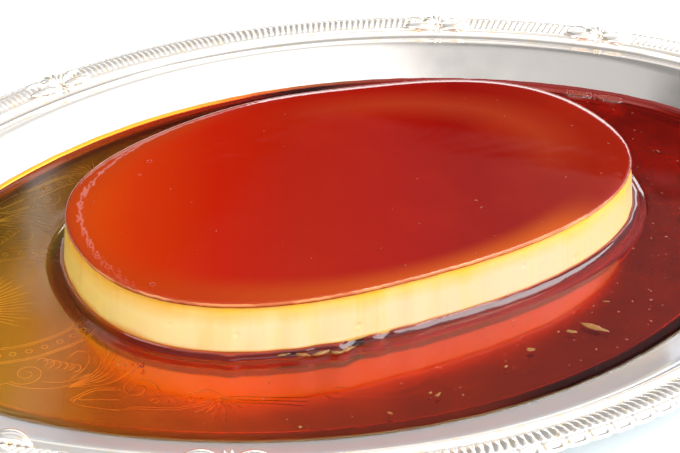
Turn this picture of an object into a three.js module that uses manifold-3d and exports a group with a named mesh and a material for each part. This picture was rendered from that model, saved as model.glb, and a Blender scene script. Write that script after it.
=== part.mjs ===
// A creme caramel flan on its oval serving tray, in millimetres, +Z up.
// The origin is the middle of the tray's underside, and +X runs along the tray.
// Four solids: the tray, the syrup that lies in it, the custard and its caramel top.
import * as THREE from "three";
import { mergeVertices } from "three/addons/utils/BufferGeometryUtils.js";
import Module from "manifold-3d";

const wasm = await Module();
wasm.setup();

// ---- Driving dimensions ----

const SHEET = 1.5; // thickness of the tray's sheet, and so the height of its floor
const SYRUP_DEPTH = 2.4;
const SYRUP_LEVEL = SHEET + SYRUP_DEPTH;
const CLEARANCE = 0.3; // between solids that touch on a curved face

// The tray, as distances outward from the line where the syrup meets its wall.
// A fullness below 0 draws the diagonals of an oval in, and one above 0 fills them out.
const SYRUP_LINE = { halfLength: 153, halfWidth: 105.5, fullness: -0.034 };
const WALL_RISE = 0.52; // height gained for each unit outward
const WALL_BEND = -SYRUP_DEPTH / WALL_RISE; // middle of the bend between floor and wall
const WALL_FOOT = WALL_BEND - 2;
const WALL_BEND_END = WALL_BEND + 2;
const WALL_TOP = 18;
const STEP_HEIGHT = 0.6; // of the small step between wall and shoulder

// The border's parts, each at a distance outward and a height above the syrup.
const SHOULDER_MIDDLE = { outward: 21.4, height: 11.5 };
const SHOULDER_END = { outward: 24.2, height: 12.1 };
const BEAD = { outward: 30.8, height: 12.8 };
const RIM = { outward: 33.6, height: 11.8 };
const RIM_UNDERSIDE = { outward: 32.8, height: 10.4 };

// The gadroon border: slanted lobes on a band outside the shoulder.
const LOBES = 432;
const LOBE_START = { outward: 25.2, height: 13.1 };
const LOBE_END = { outward: 29.6, height: 13.9 };
const LOBE_DEPTH = 0.8;
const LOBE_LEAN = 1.5; // how far a lobe's outer end lies along the rim from its inner end
const LOBE_FLIP = 6; // how sharply the lean changes sides at the ends of the two axes
const PATTERN_TURN = -5; // degrees, of the border's pattern round the rim

// The outer bead: shallow scallops, each as long as three lobes.
const SCALLOPS = LOBES / 3;
const SCALLOP_BULGE = 0.5;

// Shell ornaments on the border: a ribbed fan between two leaves.
const ORNAMENT_ANGLES = [26, 50]; // degrees each side of the middle of each long side
const ORNAMENT = { outward: 27, height: 12.2 };
const LEAF = { along: 7.5, outward: -4, length: 15, width: 6, height: 3.6, turn: 20 };
const FAN = { ribs: 5, spread: 130, root: -4, reach: 9.5, notch: 1.2, crest: 2.2, valley: 1.3 };

// The flan: top edge, place on the tray, and how far its side spreads at a given height.
const FLAN = { halfLength: 95, halfWidth: 63, fullness: 0.058 };
const FLAN_CENTRE = new THREE.Vector2(0.9, 3.5);
const FLAN_TURN = 2; // degrees
const FLAN_TOP = SYRUP_LEVEL + 18;
const CARAMEL_UNDERSIDE = FLAN_TOP - 1.4;
const FLAN_SIDE = [
  { height: SHEET, outward: 2.2 },
  { height: SYRUP_LEVEL, outward: 1.9 },
  { height: SYRUP_LEVEL + 7, outward: 1.1 },
  { height: SYRUP_LEVEL + 14, outward: 0.3 },
  { height: CARAMEL_UNDERSIDE, outward: -0.2 },
];
const CARAMEL_EDGE = [
  { height: CARAMEL_UNDERSIDE, outward: -0.2 },
  { height: FLAN_TOP - 0.7, outward: -0.5 },
  { height: FLAN_TOP - 0.2, outward: -1.2 },
  { height: FLAN_TOP, outward: -2.6 },
];
// The mould wasn't a true oval: each wave swings the outline in and out round the flan.
const FLAN_WAVES = [
  { count: 3, swing: 1.2, start: -47 },
  { count: 4, swing: 0.8, start: 33 },
  { count: 5, swing: 0.3, start: 57 },
];

// The syrup climbs the custard in a small fillet.
const MENISCUS_HEIGHT = 1.1;
const MENISCUS_REACH = 2.6;

// Points round each closed loop.
const TRAY_STEPS = 96;
const FLAN_STEPS = 96;

const degrees = THREE.MathUtils.degToRad;

// ---- Ovals ----

/** The point of an oval at an angle, with both half-axes made longer by outward. */
function ovalPoint(shape, angle, outward = 0) {
  const fill = 1 + shape.fullness * Math.sin(2 * angle) ** 2;
  return new THREE.Vector2(
    (shape.halfLength + outward) * fill * Math.cos(angle),
    (shape.halfWidth + outward) * fill * Math.sin(angle),
  );
}

/** A function from a share of an oval's edge, 0 to 1, to the angle there. */
function edgeAngles(shape, outward) {
  const samples = 2880;
  const lengths = [0];
  for (let i = 1; i <= samples; i++) {
    const from = ovalPoint(shape, (2 * Math.PI * (i - 1)) / samples, outward);
    const to = ovalPoint(shape, (2 * Math.PI * i) / samples, outward);
    lengths.push(lengths[i - 1] + from.distanceTo(to));
  }
  return (share) => {
    const turns = Math.floor(share);
    const wanted = (share - turns) * lengths[samples];
    let after = 1;
    while (lengths[after] < wanted) after++;
    const part = (wanted - lengths[after - 1]) / (lengths[after] - lengths[after - 1]);
    return 2 * Math.PI * (turns + (after - 1 + part) / samples);
  };
}

const trayAngle = edgeAngles(SYRUP_LINE, ORNAMENT.outward);
const trayLength = rimLength(ORNAMENT.outward);
const flanAngle = edgeAngles(FLAN, 0);

function rimLength(outward) {
  let length = 0;
  for (let i = 0; i < 720; i++) {
    const from = ovalPoint(SYRUP_LINE, degrees(i / 2), outward);
    length += from.distanceTo(ovalPoint(SYRUP_LINE, degrees((i + 1) / 2), outward));
  }
  return length;
}

/** A level loop of the tray. */
function trayLoop(outward, height) {
  return Array.from({ length: TRAY_STEPS }, (_, i) => {
    const point = ovalPoint(SYRUP_LINE, trayAngle(i / TRAY_STEPS), outward);
    return new THREE.Vector3(point.x, point.y, height);
  });
}

/** A level loop of the tray's border. */
function borderLoop({ outward, height }) {
  return trayLoop(outward, SYRUP_LEVEL + height);
}

/** A level loop of the flan, at outward from its top edge. */
function flanLoop(outward, height) {
  return Array.from({ length: FLAN_STEPS }, (_, i) => {
    const point = ovalPoint(FLAN, flanAngle(i / FLAN_STEPS), outward);
    const round = point.angle();
    const wave = FLAN_WAVES.reduce(
      (sum, { count, swing, start }) => sum + swing * Math.cos(count * round - degrees(start)),
      0,
    );
    point.setLength(point.length() + wave);
    point.rotateAround(new THREE.Vector2(), degrees(FLAN_TURN)).add(FLAN_CENTRE);
    return new THREE.Vector3(point.x, point.y, height);
  });
}

// ---- Skins over loops ----

/**
 * A closed geometry through loops of points, each anticlockwise from above.
 * The first loops run outward along the underside and the last ones inward along the top.
 * A ring joins its last loop to its first, and any other skin closes on a middle point.
 */
function skin(loops, { ring = false } = {}) {
  const positions = [];
  const add = (...corners) => corners.forEach((p) => positions.push(p.x, p.y, p.z));
  const stitch = (lower, upper) => {
    let i = 0;
    let j = 0;
    while (i < lower.length || j < upper.length) {
      const a = lower[i % lower.length];
      const b = upper[j % upper.length];
      if ((i + 1) * upper.length <= (j + 1) * lower.length) {
        add(a, lower[(i + 1) % lower.length], b);
        i++;
      } else {
        add(a, upper[(j + 1) % upper.length], b);
        j++;
      }
    }
  };
  loops.slice(1).forEach((upper, k) => stitch(loops[k], upper));
  const first = loops[0];
  const last = loops[loops.length - 1];
  if (ring) {
    stitch(last, first);
  } else {
    const below = middle(first);
    const above = middle(last);
    first.forEach((p, i) => add(below, first[(i + 1) % first.length], p));
    last.forEach((p, i) => add(above, p, last[(i + 1) % last.length]));
  }
  const geometry = new THREE.BufferGeometry();
  geometry.setAttribute("position", new THREE.Float32BufferAttribute(positions, 3));
  return geometry;
}

function middle(loop) {
  const sum = loop.reduce((total, p) => total.add(p), new THREE.Vector3());
  return sum.divideScalar(loop.length);
}

// ---- Joining solids ----

function solidOf(geometry) {
  const bare = geometry.clone();
  bare.deleteAttribute("normal");
  bare.deleteAttribute("uv");
  const merged = mergeVertices(bare, 1e-4);
  return new wasm.Manifold(
    new wasm.Mesh({
      numProp: 3,
      vertProperties: merged.attributes.position.array,
      triVerts: new Uint32Array(merged.index.array),
    }),
  );
}

function geometryOf(solid) {
  const mesh = solid.getMesh();
  const geometry = new THREE.BufferGeometry();
  geometry.setAttribute("position", new THREE.BufferAttribute(mesh.vertProperties, 3));
  geometry.setIndex(new THREE.BufferAttribute(mesh.triVerts, 1));
  return geometry;
}

// ---- The tray ----

/** Height of the inside of the tray's wall, which bends up from the floor and then runs straight. */
function wallHeight(outward) {
  const bend = THREE.MathUtils.clamp(outward, WALL_FOOT, WALL_BEND_END) - WALL_FOOT;
  const bendRise = (WALL_RISE * bend ** 2) / (2 * (WALL_BEND_END - WALL_FOOT));
  return SHEET + bendRise + WALL_RISE * Math.max(0, outward - WALL_BEND_END);
}

/** How far a lobe leans along the rim at an angle: away from the long sides' middles. */
function lobeLean(angle) {
  const lean = -LOBE_FLIP * Math.sin(2 * (angle - degrees(PATTERN_TURN)));
  return LOBE_LEAN * THREE.MathUtils.clamp(lean, -1, 1);
}

/** One edge of the gadroon band: crests and valleys by turns, moved along the rim by their lean. */
function lobeLoop({ outward, height }, leanShare) {
  const count = 2 * LOBES;
  return Array.from({ length: count }, (_, i) => {
    const lean = leanShare * lobeLean(trayAngle(i / count));
    const point = ovalPoint(SYRUP_LINE, trayAngle(i / count + lean / trayLength), outward);
    return new THREE.Vector3(point.x, point.y, SYRUP_LEVEL + height - (i % 2) * LOBE_DEPTH);
  });
}

/** An edge of the outer bead, which bulges at each scallop and draws in between two. */
function scallopLoop({ outward, height }) {
  const count = 2 * SCALLOPS;
  return Array.from({ length: count }, (_, i) => {
    const drawnIn = (i % 2) * SCALLOP_BULGE;
    const point = ovalPoint(SYRUP_LINE, trayAngle(i / count), outward - drawnIn);
    return new THREE.Vector3(point.x, point.y, SYRUP_LEVEL + height);
  });
}

function trayBody() {
  const wall = [WALL_FOOT, WALL_BEND, WALL_BEND_END, WALL_TOP];
  const slope = Math.atan(WALL_RISE);
  const underside = wall.slice(1).map((outward) => {
    const tilt = outward === WALL_BEND ? slope / 2 : slope;
    return trayLoop(
      outward + SHEET * Math.sin(tilt),
      wallHeight(outward) - SHEET * Math.cos(tilt),
    );
  });
  const inside = wall.map((outward) => trayLoop(outward, wallHeight(outward))).reverse();
  return skin([
    trayLoop(WALL_FOOT, 0),
    ...underside,
    borderLoop({ ...SHOULDER_END, height: SHOULDER_END.height - SHEET }),
    borderLoop(RIM_UNDERSIDE),
    scallopLoop(RIM),
    scallopLoop(BEAD),
    lobeLoop(LOBE_END, 1),
    lobeLoop(LOBE_START, 0),
    borderLoop(SHOULDER_END),
    borderLoop(SHOULDER_MIDDLE),
    trayLoop(WALL_TOP + STEP_HEIGHT, wallHeight(WALL_TOP) + STEP_HEIGHT),
    ...inside,
  ]);
}

/** A leaf of an ornament, in the ornament's own frame: X along the rim, Y outward, Z up. */
function leaf(side) {
  const geometry = new THREE.SphereGeometry(0.5, 6, 4).rotateY(Math.PI / 2);
  geometry.scale(LEAF.length, LEAF.width, LEAF.height);
  geometry.rotateZ(side * degrees(LEAF.turn));
  return geometry.translate(side * LEAF.along, LEAF.outward, 0);
}

/** The ribbed fan of an ornament: rib ends and the notches between them, round one root. */
function fan() {
  const last = 2 * FAN.ribs;
  const corner = (i, share, rise) => {
    const turn = degrees(90 - FAN.spread * (0.5 - i / last));
    const reach = share * (FAN.reach - (i % 2 ? 0 : FAN.notch));
    return new THREE.Vector3(reach * Math.cos(turn), FAN.root + reach * Math.sin(turn), rise);
  };
  const loop = (share, rise) => [
    new THREE.Vector3(0, FAN.root - share, rise(0)),
    ...Array.from({ length: last + 1 }, (_, i) => corner(i, share, rise(i))),
  ];
  return skin([
    loop(1, () => -1),
    loop(1, () => 0),
    loop(0.75, (i) => (i % 2 ? FAN.crest : FAN.valley)),
  ]);
}

/** Where an ornament sits: on the border at an angle, turned to the rim. */
function ornamentPlace(angle) {
  const at = ovalPoint(SYRUP_LINE, angle, ORNAMENT.outward);
  const ahead = ovalPoint(SYRUP_LINE, angle - 0.01, ORNAMENT.outward);
  const heading = Math.atan2(ahead.y - at.y, ahead.x - at.x);
  const height = SYRUP_LEVEL + ORNAMENT.height;
  return new THREE.Matrix4().makeRotationZ(heading).setPosition(at.x, at.y, height);
}

function trayGeometry() {
  const angles = [90, 270].flatMap((side) =>
    ORNAMENT_ANGLES.flatMap((from) => [side - from, side + from]),
  );
  let solid = solidOf(trayBody());
  for (const angle of angles) {
    const place = ornamentPlace(degrees(angle + PATTERN_TURN));
    for (const piece of [leaf(-1), leaf(1), fan()]) {
      solid = solid.add(solidOf(piece.applyMatrix4(place)));
    }
  }
  return geometryOf(solid);
}

// ---- The food ----

function custardGeometry() {
  return skin(FLAN_SIDE.map(({ outward, height }) => flanLoop(outward, height)));
}

function caramelTopGeometry() {
  return skin(CARAMEL_EDGE.map(({ outward, height }) => flanLoop(outward, height)));
}

/** The syrup: a ring between the custard and the tray's wall, up to the syrup line. */
function syrupGeometry() {
  const [base, line] = FLAN_SIDE;
  const byWall = (outward) => trayLoop(outward - CLEARANCE, wallHeight(outward));
  return skin(
    [
      flanLoop(base.outward + CLEARANCE, SHEET),
      trayLoop(WALL_FOOT - CLEARANCE, SHEET),
      byWall(WALL_BEND),
      byWall(WALL_BEND_END),
      trayLoop(-CLEARANCE, SYRUP_LEVEL),
      flanLoop(line.outward + MENISCUS_REACH, SYRUP_LEVEL),
      flanLoop(line.outward + MENISCUS_REACH / 3, SYRUP_LEVEL + MENISCUS_HEIGHT / 3),
      flanLoop(line.outward + CLEARANCE, SYRUP_LEVEL + MENISCUS_HEIGHT),
    ],
    { ring: true },
  );
}

// ---- Assembly ----

function part(name, geometry, material) {
  const mesh = new THREE.Mesh(geometry, new THREE.MeshStandardMaterial(material));
  mesh.name = name;
  return mesh;
}

const flan = new THREE.Group();
flan.add(
  part("serving_tray", trayGeometry(), { color: 0xc9c4be, roughness: 0.15, metalness: 1 }),
  part("caramel_syrup", syrupGeometry(), { color: 0x8f2f12, roughness: 0.08, metalness: 0 }),
  part("custard", custardGeometry(), { color: 0xf7dc98, roughness: 0.35, metalness: 0 }),
  part("caramel_top", caramelTopGeometry(), { color: 0xb3291a, roughness: 0.1, metalness: 0 }),
);

export default flan;
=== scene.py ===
"""A creme caramel flan in its caramel syrup, on an oval silver-plated tray with a gadroon border.

Shapes are worked out in millimetres in the frame's own axes: +X along the tray, +Y away from
the viewer, +Z up. Each surface is a skin over closed loops that run anticlockwise from above.
"""

import math

import bpy
import numpy as np
from mathutils import Matrix, Vector
from mathutils.geometry import delaunay_2d_cdt
from mathutils.kdtree import KDTree


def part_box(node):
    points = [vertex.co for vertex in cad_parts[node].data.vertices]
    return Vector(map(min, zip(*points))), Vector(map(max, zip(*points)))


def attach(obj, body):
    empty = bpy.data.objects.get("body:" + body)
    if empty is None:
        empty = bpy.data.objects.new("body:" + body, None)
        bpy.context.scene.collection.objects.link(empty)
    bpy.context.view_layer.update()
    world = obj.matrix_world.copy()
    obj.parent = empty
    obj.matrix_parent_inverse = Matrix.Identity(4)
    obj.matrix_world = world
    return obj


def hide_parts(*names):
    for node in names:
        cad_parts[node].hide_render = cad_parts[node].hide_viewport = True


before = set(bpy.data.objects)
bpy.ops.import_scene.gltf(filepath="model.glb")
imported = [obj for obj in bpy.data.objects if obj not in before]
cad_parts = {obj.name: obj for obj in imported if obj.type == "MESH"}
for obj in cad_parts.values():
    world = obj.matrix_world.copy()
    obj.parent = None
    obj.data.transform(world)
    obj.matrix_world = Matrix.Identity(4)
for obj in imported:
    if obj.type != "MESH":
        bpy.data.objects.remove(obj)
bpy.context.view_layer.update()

MM = 0.001

# ---- Sizes, in millimetres ----

SHEET = 1.5
SYRUP_DEPTH = 2.4
LEVEL = SHEET + SYRUP_DEPTH
FLAN_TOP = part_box("caramel_top")[1].z / MM
CARAMEL_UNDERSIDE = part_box("caramel_top")[0].z / MM

# Ovals: half length, half width, fullness of the diagonals.
SYRUP_LINE = (153.0, 105.5, -0.034)
FLAN = (95.0, 63.0, 0.058)
FLAN_CENTRE = np.array([0.9, 3.5])
FLAN_TURN = math.radians(2)
FLAN_WAVES = ((3, 1.2, -47), (4, 0.8, 33), (5, 0.3, 57))

WALL_RISE = 0.52
WALL_BEND = -SYRUP_DEPTH / WALL_RISE
WALL_FOOT = WALL_BEND - 2
WALL_BEND_END = WALL_BEND + 2

BORDER_LINE = 27.0  # outward; the border's pattern is stepped out evenly along it
PATTERN_TURN = math.radians(-5)
LOBES = 432
LOBES_IN_A_SCALLOP = 3
LOBE_LEAN = 1.6
LOBE_FLIP = 6
LOBE_START = 24.2
LOBE_END = 30.3
ORNAMENT_ANGLES = (26, 50)

# The border's section from the wall's top to the lobes: outward, height above the syrup.
SHOULDER = (
    (15.4, 7.95), (16.2, 8.3), (17.0, 8.52), (18.0, 8.66), (18.9, 8.8), (19.25, 9.1), (19.5, 9.7),
    (19.75, 10.5), (20.1, 11.25), (20.6, 11.85), (21.1, 12.2), (21.4, 12.27), (22.2, 12.12),
    (23.0, 11.9), (23.8, 11.6),
)
# The underside: outward, height above the syrup.
UNDERSIDE = ((18.7, 7.7), (24.2, 10.4), (32.6, 10.4))
# The outer bead, down to its edge: outward before the scallops' bulge, height above the syrup.
BEAD = (
    (33.0, 10.9), (33.25, 11.3), (33.2, 11.75), (32.95, 12.1), (32.7, 12.25), (32.4, 12.4),
    (32.1, 12.6), (31.6, 12.85), (31.1, 12.95), (30.7, 12.85), (LOBE_END, 12.6),
)
BEAD_INSET = 0.2
SCALLOP_BULGE = 0.55
DASH_LINE = 32.4  # outward
DASH_DEPTH = 0.6
NOTCH_DEPTH = 0.35
# The lobes' height above the syrup at their inner end, and how much it rises to their outer end.
LOBE_BASE = (11.5, 1.1)
LOBE_HEIGHT = 0.95

# The engraved lines.
LINE_WIDTH = 0.46
LINE_DEPTH = 0.05

# The viewer's heading, in plan.
VIEW_TURN = math.radians(-25.694)
RIGHT = np.array([math.cos(VIEW_TURN), math.sin(VIEW_TURN)])
AHEAD = np.array([-math.sin(VIEW_TURN), math.cos(VIEW_TURN)])

WALL_STEPS = 648
BORDER_STEPS = 6 * LOBES
FLAN_STEPS = 900


# ---- Loops ----

def oval(shape, angle, outward=0.0):
    """Points of an oval at some angles, with both half axes made longer by outward."""
    half_length, half_width, fullness = shape
    fill = 1 + fullness * np.sin(2 * angle) ** 2
    x = (half_length + outward) * fill * np.cos(angle)
    y = (half_width + outward) * fill * np.sin(angle)
    return np.stack([x, y], -1)


def even_angles(shape, outward, shares):
    """The angles at given shares, 0 to 1, of the way round an oval."""
    fine = np.linspace(0, 2 * np.pi, 2881)
    steps = np.linalg.norm(np.diff(oval(shape, fine, outward), axis=0), axis=1)
    lengths = np.concatenate([[0], np.cumsum(steps)])
    turns = np.floor(shares)
    return np.interp((shares - turns) * lengths[-1], lengths, fine) + 2 * np.pi * turns


def tray_xy(shares, outward):
    return oval(SYRUP_LINE, even_angles(SYRUP_LINE, BORDER_LINE, shares), outward)


def shares_of(count):
    return np.arange(count) / count


def circle(angle):
    """Points of a circle of radius 1 at some angles."""
    return np.stack([np.cos(angle), np.sin(angle)], -1)


def turned(points, angle):
    c, s = math.cos(angle), math.sin(angle)
    return points @ np.array([[c, s], [-s, c]])


def flan_xy(shares, outward):
    """The flan's outline, at outward from its top edge."""
    points = oval(FLAN, even_angles(FLAN, 0, shares), outward)
    round_angle = np.arctan2(points[:, 1], points[:, 0])
    length = np.linalg.norm(points, axis=1)
    wave = sum(swing * np.cos(n * round_angle - math.radians(start)) for n, swing, start in FLAN_WAVES)
    points *= ((length + wave) / length)[:, None]
    return turned(points, FLAN_TURN) + FLAN_CENTRE


def plan_normals(points):
    """Outward normals, in plan, of a closed anticlockwise loop."""
    along = np.roll(points, -1, 0) - np.roll(points, 1, 0)
    normals = np.stack([along[:, 1], -along[:, 0]], 1)
    return normals / np.linalg.norm(normals, axis=1, keepdims=True)


def smoothstep(low, high, value):
    t = np.clip((np.asarray(value, float) - low) / (high - low), 0, 1)
    return t * t * (3 - 2 * t)


def bell(distance, width):
    return np.exp(-((distance / width) ** 2))


def strip(value, start, full, last, end):
    """A share that is 1 from full to last, and 0 before start and after end."""
    return smoothstep(start, full, value) * smoothstep(end, last, value)


def finder(points):
    """A tree whose find((x, y, 0)) gives the nearest of some points in plan."""
    tree = KDTree(len(points))
    for i, (x, y) in enumerate(points):
        tree.insert((x, y, 0), i)
    tree.balance()
    return tree


WAVES = 14  # how many waves ripples and rough add up


def ripples(xy, seed, wavelength):
    """Smooth irregular waves over a plane, about -1 to 1."""
    rng = np.random.default_rng(seed)
    headings = rng.uniform(0, 2 * np.pi, WAVES)
    numbers = 2 * np.pi / (wavelength * rng.uniform(0.6, 1.7, WAVES))
    phases = rng.uniform(0, 2 * np.pi, WAVES)
    across = xy[..., 0, None] * np.cos(headings) + xy[..., 1, None] * np.sin(headings)
    return np.sin(across * numbers + phases).sum(-1) / math.sqrt(WAVES)


def rough(shares, seed, waves):
    """Smooth irregular waves round a closed loop, about -1 to 1; waves is how many go round."""
    rng = np.random.default_rng(seed)
    numbers = np.round(waves * rng.uniform(0.5, 1.7, WAVES))
    phases = rng.uniform(0, 2 * np.pi, WAVES)
    return np.sin(2 * np.pi * shares[:, None] * numbers + phases).sum(-1) / math.sqrt(WAVES)


# ---- Skins ----

class Skin:
    """One closed mesh, built loop by loop: outward along the underside, then inward on top."""

    def __init__(self):
        self.points = []
        self.shades = []
        self.faces = []
        self.last = None

    def add(self, points, shade):
        first = len(self.points)
        self.points.extend(map(tuple, points))
        self.shades.extend(np.broadcast_to(np.asarray(shade, float), (len(points),)))
        return np.arange(first, len(self.points))

    def loop(self, xy, z, shade=0.0):
        """Adds a loop at a height, or at one height for each point, and joins it to the last."""
        heights = np.broadcast_to(np.asarray(z, float), (len(xy),))
        loop = self.add(np.column_stack([xy, heights]), shade)
        if self.last is None:
            self.first = loop
        else:
            self.bridge(self.last, loop)
        self.last = loop

    def bridge(self, lower, upper):
        n, m = len(lower), len(upper)
        if n == m:
            quads = np.stack([lower, np.roll(lower, -1), np.roll(upper, -1), upper], 1)
            self.faces.extend(map(tuple, quads.tolist()))
            return
        i = j = 0
        while i < n or j < m:
            below = (i + 1) * m <= (j + 1) * n
            ahead = lower[(i + 1) % n] if below else upper[(j + 1) % m]
            self.faces.append((int(lower[i % n]), int(ahead), int(upper[j % m])))
            i, j = (i + 1, j) if below else (i, j + 1)

    def cap(self, loop, up):
        """Closes a loop on its middle point."""
        middle = np.mean([self.points[i] for i in loop], axis=0)
        hub = int(self.add([middle], 0)[0])
        ahead = np.roll(loop, -1)
        for a, b in zip(loop.tolist(), ahead.tolist()):
            self.faces.append((hub, a, b) if up else (hub, b, a))

    def close(self):
        self.cap(self.first, up=False)
        self.cap(self.last, up=True)


def mesh_object(name, points, faces, material, flat_from=math.inf):
    """A mesh from points in millimetres, smooth-shaded up to the face flat_from."""
    mesh = bpy.data.meshes.new(name)
    mesh.from_pydata((np.asarray(points) * MM).tolist(), [], faces)
    mesh.polygons.foreach_set("use_smooth", np.arange(len(mesh.polygons)) < flat_from)
    mesh.materials.append(material)
    mesh.update()
    made = bpy.data.objects.new(name, mesh)
    bpy.context.scene.collection.objects.link(made)
    return made


def shade(piece, **shares):
    """Stores shares for a piece's points, which its material reads by name."""
    for name, values in shares.items():
        piece.data.attributes.new(name, "FLOAT", "POINT").data.foreach_set("value", values)


def place(piece, replaced=None):
    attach(piece, "root")
    if replaced:
        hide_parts(replaced)


class Pile:
    """Many small closed meshes that are joined into one piece."""

    def __init__(self):
        self.points = []
        self.faces = []

    def add(self, points, faces):
        first = len(self.points)
        self.points.extend(map(tuple, points))
        self.faces.extend(tuple(int(i) + first for i in face) for face in faces)

    def piece(self, name, material):
        return mesh_object(name, self.points, self.faces, material)


def tube_faces(rings, corners, closed=False):
    """The faces between rings of points; closed joins the last ring to the first."""
    faces = []
    for i in range(rings if closed else rings - 1):
        here, ahead = i * corners, (i + 1) % rings * corners
        for a in range(corners):
            b = (a + 1) % corners
            faces.append((here + a, here + b, ahead + b, ahead + a))
    return faces


def capped_tube(rings, corners):
    last = (rings - 1) * corners
    return [*tube_faces(rings, corners), tuple(reversed(range(corners))), tuple(range(last, last + corners))]


# ---- Materials ----

UP = (0, 0, 1)
ACROSS = (0.93, -0.37, 0)


def rgba(colour):
    """A colour with its alpha; a single number is a grey."""
    return (*(colour if isinstance(colour, tuple) else (colour,) * 3), 1)


class Nodes:
    """A node tree, and short ways to add to it. A value is a number, a colour or a node's output."""

    def __init__(self, tree):
        self.tree = tree

    def feed(self, socket, value):
        if isinstance(value, bpy.types.NodeSocket):
            self.tree.links.new(value, socket)
        else:
            socket.default_value = rgba(value) if socket.type == "RGBA" else value

    def node(self, kind, *values, **settings):
        """A node whose first sockets take values; its other sockets and settings are set by name."""
        made = self.tree.nodes.new(kind)
        for key, value in settings.items():
            socket = key.replace("_", " ")
            if socket in made.inputs:
                self.feed(made.inputs[socket], value)
            else:
                setattr(made, key, value)
        for socket, value in zip(made.inputs, values):
            self.feed(socket, value)
        return made

    def work(self, operation, *values):
        """A number worked out from values."""
        return self.node("ShaderNodeMath", *values, operation=operation).outputs[0]

    def dot(self, vector, direction):
        return self.node("ShaderNodeVectorMath", vector, direction, operation="DOT_PRODUCT").outputs["Value"]

    def remap(self, value, low, high, to_low=0.0, to_high=1.0, smooth=False):
        kind = "SMOOTHSTEP" if smooth else "LINEAR"
        limits = (low, high, to_low, to_high)
        return self.node("ShaderNodeMapRange", value, *limits, interpolation_type=kind).outputs["Result"]

    def mix(self, share, first, second, blend="MIX"):
        node = self.node("ShaderNodeMix", data_type="RGBA", blend_type=blend)
        for index, value in zip((0, 6, 7), (share, first, second)):
            self.feed(node.inputs[index], value)
        return node.outputs[2]

    def layers(self, tone, *layers):
        """Lays layers over a tone in turn: each is a share, a tone and, if it isn't MIX, the blend."""
        for share, *laid_on in layers:
            tone = self.mix(share, tone, *laid_on)
        return tone

    def both(self, share, other):
        """The product of two shares."""
        return self.mix(share, 0, other)

    def ramp(self, value, stops):
        """A colour that changes with a value; stops are values and their colours."""
        low, high = stops[0][0], stops[-1][0]
        node = self.node("ShaderNodeValToRGB", self.remap(value, low, high))
        marks = node.color_ramp.elements
        for i, (at, colour) in enumerate(stops):
            share = (at - low) / (high - low)
            mark = marks[i] if i < 2 else marks.new(share)
            mark.position = share
            mark.color = rgba(colour)
        return node.outputs[0]


class Shader(Nodes):
    """A Principled material and the nodes that drive it."""

    def __init__(self, name, **values):
        self.material = bpy.data.materials.new(name)
        self.material.use_nodes = True
        super().__init__(self.material.node_tree)
        self.drive(**values)

    def drive(self, **values):
        """Feeds the shader's own sockets, by name."""
        for name, value in values.items():
            self.feed(self.tree.nodes["Principled BSDF"].inputs[name.replace("_", " ")], value)

    def place(self, **mapping):
        """The point's own place in the part, in metres, mapped as said."""
        coordinates = self.node("ShaderNodeTexCoord").outputs["Object"]
        return self.node("ShaderNodeMapping", **mapping, Vector=coordinates).outputs["Vector"]

    def noise(self, scale, detail, stretch=(1, 1, 1)):
        """Noise with about scale cells to the metre."""
        at = self.place(Scale=stretch)
        node = self.node("ShaderNodeTexNoise", Vector=at, Scale=scale, Detail=detail, Roughness=0.55)
        return node.outputs["Fac"]

    def along(self, direction):
        """How far, in metres, the point lies along a direction."""
        return self.dot(self.place(), direction)

    def fade(self, direction, start, end, low=0.0, high=1.0):
        """Goes smoothly from low to high between two places along a direction, in millimetres."""
        return self.remap(self.along(direction), start * MM, end * MM, low, high, smooth=True)

    def across(self, stops):
        """A colour that changes from left to right; stops are millimetres along ACROSS and colours."""
        return self.ramp(self.along(ACROSS), [(at * MM, colour) for at, colour in stops])

    def attribute(self, name):
        """A share that the mesh holds for each of its points."""
        return self.node("ShaderNodeAttribute", attribute_name=name).outputs["Fac"]

    def bump(self, height, distance, strength):
        node = self.node("ShaderNodeBump", Height=height, Strength=strength, Distance=distance)
        self.drive(Normal=node.outputs["Normal"])


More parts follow.
